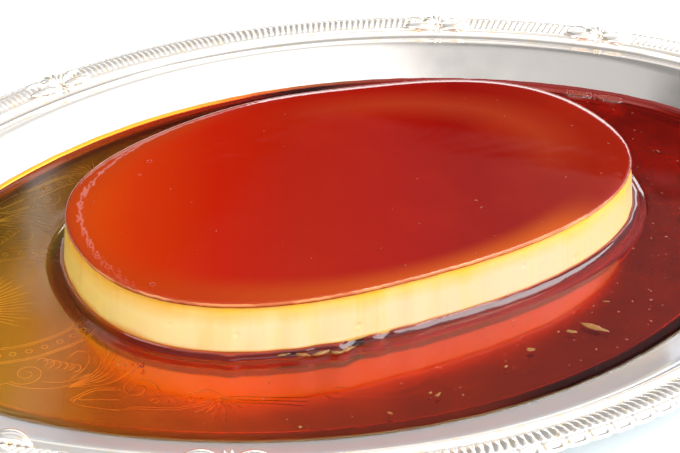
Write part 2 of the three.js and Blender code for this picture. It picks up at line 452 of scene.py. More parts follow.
def silver_material():
    """Polished on the border and the wall, and satin on the well."""
    silver = Shader("silver_plate")
    most_worn, least_worn = 0.72, 0.12
    well = silver.fade(UP, SHEET + 0.02, SHEET + 0.25, 1, 0)
    # Toward the front the wall is worn satin, and the same share lays a painted grey-blue reflection on it.
    worn = silver.fade((0.43, 0.9, 0), -90, 0, most_worn, least_worn)
    border = silver.fade(UP, LEVEL + 8.2, LEVEL + 9.0)
    sunk = silver.fade(UP, LEVEL - 0.3, LEVEL + 0.05, 1, 0)
    to_back_left = silver.fade((-0.45, 0.89, 0), 60, 90)
    satin = silver.across(((-100, 0.3), (-70, 0.2), (-35, 0.12), (0, 0.09), (100, 0.06)))
    satin = silver.mix(to_back_left, satin, 0.02)
    # Under the syrup the wall is polished, but for the front's worn left part.
    left_part = silver.fade((*RIGHT, 0), 30, 60, 0.7, 0)
    front_part = silver.fade((*AHEAD, 0), -75, -55, 1, 0)
    # The engraved lines are frosted, and worn smooth towards the right.
    deep, shallow = SHEET - 0.9 * LINE_DEPTH, SHEET - 0.1 * LINE_DEPTH
    groove = silver.remap(silver.along(UP), deep * MM, shallow * MM, 1, 0)
    frosted = silver.both(groove, silver.fade(ACROSS, -45, -25, 0.95, 0))
    # Painted shade darkens the border's recesses: the bead's dashes and notches, and a line along the
    # shoulder.
    recess = silver.attribute("recess")
    dull = silver.layers(
        worn, (sunk, silver.both(front_part, left_part)), (border, 0.3), (well, satin), (frosted, 0.95),
        (recess, 0.95),
    )
    polish = silver.remap(silver.noise(90, detail=5), 0.35, 0.7, 0.1, 0.15)
    tarnish = silver.remap(silver.noise(28, detail=4), 0.5, 0.72)
    # Golden patches on the border are painted reflections of the flan and the syrup.
    golden = silver.remap(silver.noise(420, detail=2), 0.56, 0.66, 0, 0.7)
    bright = (0.93, 0.87, 0.81)
    tone = silver.layers(
        bright, (tarnish, (0.89, 0.82, 0.76)),
        # The front wall's grey-blue tone is a painted reflection.
        (silver.remap(worn, least_worn, most_worn), (0.385, 0.435, 0.475)),
        (silver.mix(border, well, 1), bright),
        (silver.both(well, to_back_left), (0.6, 0.6, 0.55)),
        (silver.both(border, golden), (1.0, 0.8, 0.5)),
        (recess, (0.1, 0.095, 0.09)),
    )
    rougher = silver.work("MULTIPLY_ADD", well, 0.03, polish)
    silver.drive(Metallic=silver.remap(dull, 0, 1, 1, 0), Roughness=rougher, Base_Color=tone)
    silver.bump(silver.noise(700, detail=2), 0.00001, 0.25)
    return silver.material


def custard_material():
    custard = Shader(
        "custard", Roughness=0.3, IOR=1.4,
        Subsurface_Weight=0.5, Subsurface_Radius=(1.0, 0.6, 0.25), Subsurface_Scale=0.005,
    )
    tone = custard.across((
        (-90, (0.92, 0.67, 0.15)), (-60, (0.92, 0.76, 0.35)), (-35, (0.875, 0.68, 0.38)),
        (-10, (0.83, 0.6, 0.33)), (50, (0.78, 0.56, 0.35)), (90, (0.7, 0.47, 0.21)),
    ))
    streaks = custard.remap(custard.noise(120, detail=3, stretch=(1, 1, 0.25)), 0.5, 0.72, 0, 0.4)
    # Caramel has soaked into it from above, to a ragged line, and at the left end's foot.
    unevenness = custard.noise(130, detail=4, stretch=(1, 1, 0.15))
    ragged = custard.work("MULTIPLY_ADD", unevenness, 0.004, custard.along(UP))
    soaked = custard.ramp(ragged, (
        ((FLAN_TOP - 5.8) * MM, 0), ((FLAN_TOP - 2.6) * MM, 0.45), ((FLAN_TOP + 0.3) * MM, 1),
    ))
    foot = custard.remap(ragged, (LEVEL + 6.8) * MM, (LEVEL + 3.8) * MM, 0, 0.9, smooth=True)
    at_left = custard.fade(ACROSS, -70, -45, 1, 0)
    outline = custard.fade(UP, LEVEL + 3.15, LEVEL + 2.6, 0, 0.8)
    custard.drive(Base_Color=custard.layers(
        tone, (streaks, (0.9, 0.55, 0.14)), (soaked, (0.95, 0.46, 0.03)),
        (custard.both(at_left, foot), (0.8, 0.3, 0.03)), (outline, (0.72, 0.4, 0.05)),
    ))
    custard.bump(custard.noise(500, detail=3), 0.00004, 0.3)
    return custard.material


def caramel_material():
    caramel = Shader("caramel", Roughness=0.04, IOR=1.45)
    tone = caramel.across((
        (-92, (0.40, 0.044, 0.001)), (-70, (0.36, 0.02, 0.0008)), (-45, (0.31, 0.007, 0.0002)),
        (-20, (0.255, 0.006, 0.0005)), (10, (0.235, 0.004, 0.0006)), (40, (0.18, 0.002, 0.0006)),
        (80, (0.2, 0.008, 0.002)),
    ))
    mottle = caramel.remap(caramel.noise(38, detail=4), 0.5, 0.8, 0, 0.25)
    # The caramel is thinner, and so lighter, towards the flan's edge.
    in_flan = caramel.place(
        vector_type="TEXTURE", Location=(*(FLAN_CENTRE * MM), 0), Rotation=(0, 0, FLAN_TURN),
        Scale=(FLAN[0] * MM, FLAN[1] * MM, 1000),
    )
    inside = caramel.node("ShaderNodeTexGradient", gradient_type="SPHERICAL", Vector=in_flan).outputs["Fac"]
    near_edge = caramel.remap(inside, 0.15, -0.02, 0, 0.8, smooth=True)
    lighter_side = caramel.fade((-0.8, -0.6, 0), -30, 0)
    thin = caramel.across(((-50, (0.3, 0.028, 0.002)), (30, (0.42, 0.07, 0.004))))
    # A lighter band inside the back-right edge is a painted reflection of the room.
    band = caramel.ramp(inside, ((0.1, 0), (0.27, 0.6), (0.45, 0)))
    far_right = caramel.fade((0.75, 0.66, 0), 20, 60)
    caramel.drive(Base_Color=caramel.layers(
        tone, (mottle, (0.3, 0.013, 0.002)), (caramel.both(near_edge, lighter_side), thin),
        (caramel.both(far_right, band), (0.29, 0.032, 0.008)),
        (caramel.attribute("back_rim"), (0.3, 0.06, 0.008)),
        # The broken light line along the front edge is a painted highlight.
        (caramel.attribute("front_rim"), (0.66, 0.23, 0.07)),
    ))
    caramel.bump(caramel.noise(160, detail=3), 0.0001, 0.05)
    return caramel.material


def scrap_material(name, first, second):
    scrap = Shader(name, Roughness=0.3, IOR=1.4, Subsurface_Weight=0.3, Subsurface_Scale=0.001)
    scrap.drive(Base_Color=scrap.mix(scrap.noise(500, detail=3), first, second))
    scrap.bump(scrap.noise(1500, detail=2), 0.00003, 0.4)
    return scrap.material


# The syrup deepens from left to right: where, in millimetres along ACROSS, and its tint there.
SYRUP_TINTS = (
    (-105, (1.0, 0.95, 0.4)), (-90, (1.0, 0.66, 0.2)), (-75, (1.0, 0.4, 0.08)),
    (-55, (0.97, 0.28, 0.08)), (-36, (0.92, 0.19, 0.06)), (-20, (0.68, 0.12, 0.06)),
    (6, (0.62, 0.09, 0.06)), (36, (0.54, 0.07, 0.05)), (100, (0.54, 0.04, 0.03)),
)
# It is yellow at its thin lip. By the tray's wall at the back it has painted dark reflections, round the
# custard's foot painted shade, at the left end a painted shadow of the flan with a painted arc of focused
# light beyond it, and along the front lip a painted highlight. In turn: the share that the mesh holds, its
# tint and, if it isn't MIX, how the tint is laid on.
SYRUP_PARTS = (
    ("lip", (0.7, 0.4, 0.05), "MULTIPLY"), ("band", (0.05, 0.015, 0.03), "MULTIPLY"),
    ("shelf", (0.4, 0.32, 0.15), "MULTIPLY"), ("bend", (0.3, 0.25, 0.35), "MULTIPLY"),
    ("amber_lip", (0.5, 0.1, 0.003)), ("left_foot", (0.35, 0.5, 0.08)),
    ("foot", (0.2, 0.08, 0.1), "MULTIPLY"), ("arc", (1, 1, 0.2)), ("front_lip", (1, 0.8, 0.55)),
)
# Light lost to a metre of syrup, in red, green and blue.
SYRUP_LOSSES = (12.0, 130.0, 520.0)
SYRUP_DENSITY = 560.0


def syrup_material():
    syrup = Shader("syrup", Roughness=0.08, IOR=1.47, Transmission_Weight=1.0)
    far_right = syrup.fade((0.75, 0.66, 0), 50, 90)
    parts = [(syrup.attribute(name), *laid_on) for name, *laid_on in SYRUP_PARTS]
    tint = syrup.layers(syrup.across(SYRUP_TINTS), (far_right, (0.78, 0.03, 0.01)), *parts)
    syrup.drive(Base_Color=tint)
    kept = tuple(1 - loss / SYRUP_DENSITY for loss in SYRUP_LOSSES)
    absorption = syrup.node("ShaderNodeVolumeAbsorption", Color=kept, Density=SYRUP_DENSITY)
    syrup.feed(syrup.tree.nodes["Material Output"].inputs["Volume"], absorption.outputs["Volume"])
    return syrup.material


# ---- The tray's engraving ----

ENGRAVING_TURN = math.radians(-3.5)
STROKE_STEP = 0.8
SHORT_RAYS = 0.88  # as a share of the long ones


def curve(points):
    """A smooth open line through points, with a point about every STROKE_STEP."""
    points = np.asarray(points, float)
    before, after = 2 * points[0] - points[1], 2 * points[-1] - points[-2]
    padded = np.vstack([before, points, after])
    parts = []
    for p0, p1, p2, p3 in zip(padded, padded[1:], padded[2:], padded[3:]):
        count = max(2, int(np.linalg.norm(p2 - p1) / STROKE_STEP) + 1)
        t = np.linspace(0, 1, count, endpoint=False)[:, None]
        parts.append(
            0.5 * (2 * p1 + (p2 - p0) * t + (2 * p0 - 5 * p1 + 4 * p2 - p3) * t**2
                   + (3 * p1 - p0 - 3 * p2 + p3) * t**3)
        )
    return np.vstack([*parts, points[-1:]])


def beside(line, distance):
    """A line that runs at a distance to the left of another."""
    along = np.gradient(line, axis=0)
    along /= np.linalg.norm(along, axis=1, keepdims=True)
    return line + distance * np.stack([-along[:, 1], along[:, 0]], 1)


def ring(centre, radius):
    angle = np.linspace(0, 2 * np.pi, max(9, int(radius * 8)) + 1)
    return np.asarray(centre) + radius * circle(angle)


def spiral(centre, radius, inner, turns, start):
    """A line that winds anticlockwise from radius in to inner; start is in degrees."""
    t = np.linspace(0, 1, int(18 * turns) + 1)
    angle = math.radians(start) + 2 * np.pi * turns * t
    reach = radius + (inner - radius) * t**0.8
    return np.asarray(centre) + reach[:, None] * circle(angle)


def rays(centre, inner, outer, heading, spread, count):
    """Straight rays of a fan, with every other one shorter."""
    lines = []
    for i, angle in enumerate(np.radians(np.linspace(heading - spread, heading + spread, count))):
        way = circle(angle)
        reach = outer * (SHORT_RAYS if i % 2 else 1)
        lines.append(np.linspace(np.asarray(centre) + inner * way, np.asarray(centre) + reach * way, 5))
    return lines


def spray(root, tips, bow):
    """Curved lines that leave one root together and bow out to their tips."""
    root = np.asarray(root, float)
    lines = []
    for tip in np.asarray(tips, float):
        way = tip - root
        side = np.array([-way[1], way[0]])
        lines.append(curve([root, root + 0.5 * way + bow * side, tip]))
    return lines


def quarter_strokes():
    """The engraved lines of one quarter of the well, at the end and along the side."""
    strokes = []
    band = curve([(-128, -25.5), (-122.7, -27.1), (-113, -27.8), (-103, -25.8), (-96.5, -22.6), (-91, -18)])
    strokes += [beside(band, offset) for offset in (-4.0, -3.2, 3.0, 3.8)]
    strokes += [ring(band[i], 0.95) for i in range(6, len(band) - 4, 6)]
    # Half of the fan at the tray's end.
    strokes += rays((-129.7, 0), 8, 23.5, -22.5, 20, 8)
    strokes.append(spiral((-129.7, 0), 5.2, 5.2, 0.25, -90))
    # A curled leaf between the band and the spray.
    strokes.append(spiral((-117.6, -38.6), 5.6, 1.0, 1.6, 200))
    for along in np.linspace(0, 1, 6):
        at = np.array([-112.5, -34.2]) * (1 - along) + np.array([-104.2, -40.6]) * along
        strokes.append(spiral(at, 2.3, 1.3, 0.55, -60 - 40 * along))
    strokes += [
        curve([(-124, -41), (-118.5, -45.6), (-111, -48.4), (-105, -48.2)]),
        curve([(-114, -44.2), (-109.5, -46.2), (-104.5, -46.4), (-100.8, -45.2)]),
    ]
    # The spray, with its hooked leader.
    tips = ((-93.7, -34.1), (-92.6, -36.4), (-91.6, -38.8), (-90.0, -41.0), (-88.7, -43.6), (-87.0, -47.4))
    strokes += spray((-108.2, -49.4), tips, -0.16)
    hook = ((-103.6, -34.4), (-101, -33.2), (-99, -35.4), (-99.6, -39.2), (-102, -42.6), (-106.6, -46))
    # The volute, the long leaf that feeds it, and the beaded tail that runs on from it.
    leaf_top = curve([(-109.3, -55.4), (-105, -53.4), (-101, -52.8), (-95.6, -54.6)])
    strokes += [
        curve(hook),
        spiral((-90.3, -57.2), 5.4, 1.2, 1.35, 10),
        leaf_top,
        beside(leaf_top, -1.0),
        curve([(-109.3, -55.4), (-107.6, -58.4), (-103.4, -61.4), (-97.6, -65.0)]),
        curve([(-106.6, -56.2), (-101.4, -58.2), (-96.2, -60.4)]),
    ]
    tail = curve([(-92.5, -62.3), (-87.2, -64.7), (-82.8, -66.6), (-78, -67.6), (-72, -67.2)])
    strokes += [beside(tail, offset) for offset in (2.7, -2.7, -3.7)]
    strokes += [ring(point, 1.05) for point in ((-87.2, -64.5), (-82.8, -66.5), (-78.2, -67.5))]
    # The small fan under the tail and the feathers that trail along the side.
    tips = ((-78.9, -73.8), (-76.2, -74.9), (-73.5, -76), (-71.1, -77), (-68.6, -76.8), (-65.9, -76.4))
    strokes += spray((-70.3, -70.3), tips, 0.08)
    for drop in (0, 1.6, 3.2):
        tip = (-46 - drop, -79 - drop)
        strokes.append(curve([(-70, -69.6 - 0.3 * drop), (-64, -71.6 - drop), (-56, -75.2 - drop), tip]))
    strokes.append(spiral((-38, -79.5), 4.4, 1.0, 1.3, 150))
    # Half of the fan at the middle of the long side.
    strokes += rays((0, -97), 6, 17, 112.5, 20, 7)
    strokes += [
        curve([(-34, -80.5), (-26, -84), (-16, -84), (-8, -79), (-2, -77.5)]),
        curve([(-33, -83.5), (-25, -87.5), (-15, -87.5), (-7.5, -82.5), (-2, -80.5)]),
    ]
    return strokes


def all_strokes():
    mirrors = [np.array([end, side]) for side in (1, -1) for end in (1, -1)]
    return [turned(stroke * mirror, ENGRAVING_TURN) for mirror in mirrors for stroke in quarter_strokes()]


def engraved_floor(skin, edge):
    """Closes the tray's floor inside a loop, with every engraved line as a groove."""
    corners = [Vector(skin.points[i][:2]) for i in edge]
    count = len(corners)
    edges = [(i, (i + 1) % count) for i in range(count)]
    samples = []
    for stroke in all_strokes():
        for line in (beside(stroke, 0.5 * LINE_WIDTH), stroke, beside(stroke, -0.5 * LINE_WIDTH)):
            first = len(corners)
            corners += [Vector(point) for point in line]
            edges += [(i, i + 1) for i in range(first, len(corners) - 1)]
        parts = np.linspace(0, 1, 5, endpoint=False)[:, None, None]
        samples.append((stroke[:-1] * (1 - parts) + stroke[1:] * parts).reshape(-1, 2))
    nearest = finder(np.vstack(samples))
    points, _, faces, origins, _, _ = delaunay_2d_cdt(corners, edges, [], 1, 1e-4)
    numbers = {}
    for i, (point, origin) in enumerate(zip(points, origins)):
        on_edge = [o for o in origin if o < count]
        if on_edge:
            numbers[i] = int(edge[on_edge[0]])
            continue
        gap = nearest.find((point.x, point.y, 0))[2]
        worn = 0.12 + 0.88 * float(smoothstep(5, -35, ACROSS[0] * point.x + ACROSS[1] * point.y))
        depth = LINE_DEPTH * worn * max(0.0, 1 - gap / (0.5 * LINE_WIDTH))
        numbers[i] = int(skin.add([(point.x, point.y, SHEET - depth)], 0)[0])
    skin.faces.extend(tuple(numbers[i] for i in face) for face in faces)


# ---- The tray ----

def wall_height(outward):
    """Height of the inside of the tray's wall."""
    bend = np.clip(outward, WALL_FOOT, WALL_BEND_END) - WALL_FOOT
    rise = WALL_RISE * bend**2 / (2 * (WALL_BEND_END - WALL_FOOT))
    return SHEET + rise + WALL_RISE * max(0.0, outward - WALL_BEND_END)


def border_rows():
    """The border's rows from its outer edge inward: outward, height and share of painted shade, for each
    step.
    """
    shares = shares_of(BORDER_STEPS)
    angle = even_angles(SYRUP_LINE, BORDER_LINE, shares)
    lean = LOBE_LEAN * np.clip(-LOBE_FLIP * np.sin(2 * (angle - PATTERN_TURN)), -1, 1)
    length = np.linalg.norm(np.diff(tray_xy(np.linspace(0, 1, 2000), BORDER_LINE), axis=0), axis=1).sum()
    scallop = (shares * LOBES / LOBES_IN_A_SCALLOP) % 1
    from_gap = np.minimum(scallop, 1 - scallop) * LOBES_IN_A_SCALLOP * length / LOBES
    bulge = SCALLOP_BULGE * (1 - bell(from_gap, 0.9))
    rows = []
    for outward, height in BEAD:
        dash = bell(outward - DASH_LINE, 0.45) * smoothstep(1.4, 2.0, from_gap)
        notch = bell(from_gap, 0.3) * smoothstep(LOBE_END - 0.2, 30.9, outward)
        out = outward - BEAD_INSET + smoothstep(LOBE_END, 33, outward) * bulge
        height = height - DASH_DEPTH * dash - NOTCH_DEPTH * notch
        # The bead's dashes and notches get painted shade.
        rows.append((out, height, np.maximum(0.9 * dash, 0.5 * notch)))
    for v in np.linspace(0.96, 0.0, 14):
        outward = LOBE_START + v * (LOBE_END - LOBE_START)
        swing = v + 0.1 * math.sin(2 * math.pi * v)
        phase = (shares * LOBES - swing * lean * LOBES / length) % 1
        ridge = (0.5 - 0.5 * np.cos(2 * np.pi * phase)) ** 0.55
        body = math.sin(math.pi * min(1, 0.04 + 0.9 * v)) ** 0.8
        base = LOBE_BASE[0] + LOBE_BASE[1] * v
        rows.append((np.full(BORDER_STEPS, outward), base + LOBE_HEIGHT * body * ridge, 0.0))
    return shares, rows


def tray_skin():
    skin = Skin()
    around = shares_of(WALL_STEPS)
    slope = math.atan(WALL_RISE)
    skin.loop(tray_xy(around, WALL_FOOT + 0.4), 0)
    for outward, share in ((WALL_BEND, 0.5), (WALL_BEND_END, 1), (6, 1)):
        tilt = slope * share
        skin.loop(
            tray_xy(around, outward + SHEET * math.sin(tilt)),
            wall_height(outward) - SHEET * math.cos(tilt),
        )
    for outward, height in UNDERSIDE:
        skin.loop(tray_xy(around, outward), LEVEL + height)
    shares, rows = border_rows()
    angle = even_angles(SYRUP_LINE, BORDER_LINE, shares)
    for outward, height, recess in rows:
        skin.loop(oval(SYRUP_LINE, angle, outward), LEVEL + height, recess)
    for outward, height in reversed(SHOULDER):
        # A line of painted shade runs along the shoulder's crease.
        skin.loop(tray_xy(around, outward), LEVEL + height, 0.8 if 8.8 < height < 10 else 0.0)
    inside = [*np.linspace(14.9, 1, 7), 0.3, -0.4, -1.4, *np.linspace(WALL_BEND_END, WALL_FOOT, 9)]
    for outward in inside:
        skin.loop(tray_xy(around, outward), wall_height(outward))
    skin.cap(skin.first, up=False)
    floor_from = len(skin.faces)
    engraved_floor(skin, skin.last)
    return skin, floor_from


def make_tray(silver):
    skin, floor_from = tray_skin()
    piece = mesh_object("tray", skin.points, skin.faces, silver, flat_from=floor_from)
    shade(piece, recess=skin.shades)
    return piece


# ---- The border's shell ornaments ----

def drop(start, end, width, height, bend, base):
    """A long rounded relief from start to end, as wide and high as said, bent to one side."""
    start, end = np.asarray(start, float), np.asarray(end, float)
    way = end - start
    side = np.array([-way[1], way[0]])
    across = side / np.linalg.norm(side)
    rings, corners = 11, 10
    points = []
    for i in range(1, rings):
        t = i / rings
        centre = start + way * t + side * bend * math.sin(math.pi * t)
        half = 0.5 * width * math.sin(math.pi * t**0.8) ** 0.7
        for j in range(corners):
            turn = 2 * math.pi * j / corners
            lift = math.sin(turn) * (height if math.sin(turn) > 0 else 0.8)
            at = centre + across * half * math.cos(turn)
            points.append((at[0], at[1], base + lift * math.sin(math.pi * t) ** 0.6))
    points += [(*start, base), (*end, base)]
    faces = tube_faces(rings - 1, corners)
    first, last_ring = len(points) - 2, (rings - 2) * corners
    for a in range(corners):
        b = (a + 1) % corners
        faces += [(first, b, a), (first + 1, last_ring + a, last_ring + b)]
    return np.array(points), faces


# An ornament: X along the rim, Y outward, Z up from the border.
ORNAMENT_HEIGHT = 12.3
# The leaves on one side of the shell: start, end, width, height, bend, base.
LEAVES = (
    ((0.8, -3.4), (13.5, -3.2), 5.6, 1.9, -0.1, 0.1), ((1.0, -4.6), (8.5, -7.4), 3.6, 1.3, 0.1, -0.3),
    ((4.0, 0.0), (12.5, 2.2), 3.0, 1.5, 0.12, 0.2), ((0.5, -5.0), (1.2, -8.2), 1.4, 0.8, 0.0, -0.4),
)
SHELL_ROOT = np.array([0, -2.6])
SHELL_RIBS = (-62, -38, -13, 13, 38, 62)  # their headings, in degrees
RIB_START = 1.2
RIB_REACH = (8.6, 1.6)  # of a rib straight outward, and how much less at a radian from it
RIB_SIZE = (2.6, 1.9)


def ornament_pieces():
    """A shell between two leaves."""
    pieces = []
    for side in (-1, 1):
        mirror = np.array([side, 1])
        for start, end, width, height, bend, base in LEAVES:
            pieces.append(drop(mirror * start, mirror * end, width, height, side * bend, base))
    for turn in np.radians(SHELL_RIBS):
        way = np.array([math.sin(turn), math.cos(turn)])
        tip = SHELL_ROOT + (RIB_REACH[0] - RIB_REACH[1] * abs(turn)) * way
        pieces.append(drop(SHELL_ROOT + RIB_START * way, tip, *RIB_SIZE, 0, 0.3))
    return pieces


def make_ornaments(silver):
    pile = Pile()
    for side in (90, 270):
        for offset in (*ORNAMENT_ANGLES, *(-a for a in ORNAMENT_ANGLES)):
            angle = math.radians(side + offset) + PATTERN_TURN
            at = oval(SYRUP_LINE, np.array([angle]), BORDER_LINE)[0]
            ahead = oval(SYRUP_LINE, np.array([angle - 0.01]), BORDER_LINE)[0]
            along = (ahead - at) / np.linalg.norm(ahead - at)
            out = np.array([-along[1], along[0]])
            for points, faces in ornament_pieces():
                plan = at + points[:, :1] * along + points[:, 1:2] * out
                pile.add(np.column_stack([plan, LEVEL + ORNAMENT_HEIGHT + points[:, 2]]), faces)
    return pile.piece("tray_shells", silver)


# ---- The custard ----

# How far the custard's side stands out from the flan's top edge, at heights above the tray.
CUSTARD_SIDE = (
    (SHEET, 2.2), (LEVEL, 1.9), (LEVEL + 7, 1.1), (LEVEL + 14, 0.3), (CARAMEL_UNDERSIDE, -0.2),
)
CUSTARD_GIRTH = 506.0
# Small dents in the custard's side: share of the way round, height above the syrup, size, depth.
PITS = ((0.548, 13.0, 0.5, 0.3), (0.556, 9.0, 0.5, 0.25), (0.584, 9.5, 0.5, 0.25), (0.588, 12.0, 0.4, 0.25),
        (0.622, 8.0, 0.6, 0.25), (0.69, 6.5, 0.6, 0.3), (0.80, 10.5, 0.6, 0.3), (0.842, 5.2, 0.6, 0.3))
# Tears at the custard's foot: share of the way round, width, height, depth, less than 0 where it juts.
TEARS = ((0.619, 2.4, 2.2, -0.8), (0.678, 2.6, 3.6, -0.7), (0.688, 3.4, 2.6, 1.0), (0.706, 2.2, 2.0, 0.6))


def side_reach(height):
    heights, reaches = zip(*CUSTARD_SIDE)
    return np.interp(height, heights, reaches)


def custard_loop(shares, height):
    """The custard's outline at a height, with its streaks, dents and tears."""
    outline = flan_xy(shares, float(side_reach(height)))
    normals = plan_normals(outline)
    relief = 0.08 * rough(shares, 3, 40) + 0.015 * rough(shares, 4, 160)
    for at, up, size, depth in PITS:
        away = np.hypot((shares - at) * CUSTARD_GIRTH, height - LEVEL - up)
        relief -= depth * bell(away, size)
    for at, width, tall, depth in TEARS:
        away = (shares - at) * CUSTARD_GIRTH
        relief -= depth * bell(away, width) * smoothstep(tall, 0, height - LEVEL)
    return outline + relief[:, None] * normals


def make_custard(custard):
    skin = Skin()
    shares = shares_of(FLAN_STEPS)
    heights = [SHEET, 2.6, *np.linspace(LEVEL - 0.3, CARAMEL_UNDERSIDE, 40)]
    for height in heights:
        skin.loop(custard_loop(shares, height), height)
    skin.close()
    return mesh_object("custard_body", skin.points, skin.faces, custard)


# ---- The caramel top ----

# The rounded edge: how far in from the outline, and how far below the top.
CARAMEL_EDGE = (
    (-0.2, 1.4), (-0.17, 0.95), (-0.12, 0.6), (-0.03, 0.32), (0.08, 0.15), (0.22, 0.05), (0.42, 0.01),
)
# How far in the loops of the flat part lie.
CARAMEL_FLAT = (*np.linspace(0.8, 10, 40), *np.linspace(11, 30, 14))
GLAZE_LEVEL = FLAN_TOP - 0.13
# The surface also sinks gently towards the edge, least along the front and furthest at the back.
SAG = 0.7
SAG_LENGTH = 1.5
BACK_SAG = 1.0
BACK_SAG_LENGTH = 2.3


def caramel_relief(xy):
    """The small unevenness of the caramel's surface."""
    height = 0.016 * ripples(xy, 11, 26) + 0.003 * ripples(xy, 12, 7)
    back_left = bell(np.hypot((xy[:, 0] + 36) / 24, (xy[:, 1] - 38) / 9), 1.0)
    return height + 0.05 * ripples(xy * np.array([0.5, 1.5]), 14, 7) * back_left


def make_caramel(caramel):
    skin = Skin()
    shares = shares_of(FLAN_STEPS)
    outline = flan_xy(shares, 0)
    normals = plan_normals(outline)
    wobble = 0.12 * rough(shares, 21, 24) + 0.09 * rough(shares, 22, 130)
    away_from_front = smoothstep(-0.95, -0.3, normals @ AHEAD)
    at_left = smoothstep(0.1, 0.8, -(normals @ RIGHT))
    at_back = smoothstep(0.0, 0.6, normals @ AHEAD)
    at_front = smoothstep(-0.2, -0.7, normals @ AHEAD)
    uneven_line = 0.45 + 0.55 * smoothstep(-0.8, 0.8, rough(shares, 24, 22))

    def rims(inward):
        """Shares of the amber rim along the back and of the painted highlight line along the front."""
        on_line = strip(inward, 0.18, 0.05, -0.1, -0.2) * uneven_line
        return np.stack([smoothstep(1.5, 0.3, inward) * at_back, on_line * at_front])

    def surface(inward):
        xy = outline - (inward + 0.3 * wobble)[:, None] * normals
        sag = SAG * np.exp(-max(inward, 0) / SAG_LENGTH) * (0.1 + 0.9 * away_from_front)
        sag += at_back * (BACK_SAG * np.exp(-max(inward, 0) / BACK_SAG_LENGTH) - sag)
        # Fine wrinkles just inside the left end's edge.
        wrinkled = smoothstep(0.8, 2.2, inward) * math.exp(-max(inward - 2, 0) / 2.2) * at_left
        wrinkles = 0.02 * ripples(xy, 13, 1.8) * wrinkled
        uneven = 0.06 * rough(shares, 23, 110) * math.exp(-((max(inward, 0) / 0.5) ** 2))
        return xy, GLAZE_LEVEL - sag + caramel_relief(xy) + wrinkles + uneven

    skin.loop(outline - 3 * normals, CARAMEL_UNDERSIDE)
    for inward, below in CARAMEL_EDGE:
        xy, top = surface(inward)
        skin.loop(xy, np.maximum(top - below, CARAMEL_UNDERSIDE + 0.1 * (1.6 - below)))
    for inward in CARAMEL_FLAT:
        skin.loop(*surface(inward))
    centre = outline.mean(0)
    inner = outline - CARAMEL_FLAT[-1] * normals
    for share in np.linspace(1, 0.04, 12)[1:]:
        xy = centre + share * (inner - centre)
        skin.loop(xy, GLAZE_LEVEL + caramel_relief(xy))
    skin.close()
    piece = mesh_object("caramel_glaze", skin.points, skin.faces, caramel)
    # The first loop, underneath, is shaded like the outline.
    edge = np.hstack([rims(inward) for inward in (0, *(inward for inward, _ in CARAMEL_EDGE), *CARAMEL_FLAT)])
    back, front = np.pad(edge, ((0, 0), (0, len(skin.points) - edge.shape[1])))
    shade(piece, back_rim=back, front_rim=front)
    return piece


# ---- The syrup ----

MENISCUS_HEIGHT = 2.5
MENISCUS_LENGTH = 2.0
MENISCUS_END = 7.0
SUNK = 0.4  # how far the syrup reaches into the tray's sheet
# The syrup's blunt lip against the tray's wall: outward, height above the syrup's level.
LIP = (
    (0.75, 0.1), (0.6, 0.33), (0.42, 0.4), (0.2, 0.4), (-0.2, 0.3), (-0.8, 0.16), (-1.6, 0.06), (-2.6, 0.01),
)
# How far from the custard the loops of the meniscus lie.
MENISCUS_STEPS = (
    6.5, 6.0, 5.5, 5.0, 4.4, 3.8, 3.3, 2.8, 2.4, 2.0, 1.7, 1.4, 1.15, 0.9, 0.7, 0.5, 0.35, 0.22, 0.1,
    0.03, -0.1,
)


def outward_of(xy):
    """How far points lie outward from the syrup's line."""
    outward = np.zeros(len(xy))
    for _ in range(6):
        angle = np.arctan2(xy[:, 1] / (SYRUP_LINE[1] + outward), xy[:, 0] / (SYRUP_LINE[0] + outward))
        outward += np.linalg.norm(xy, axis=1) - np.linalg.norm(oval(SYRUP_LINE, angle, outward), axis=1)
    return outward


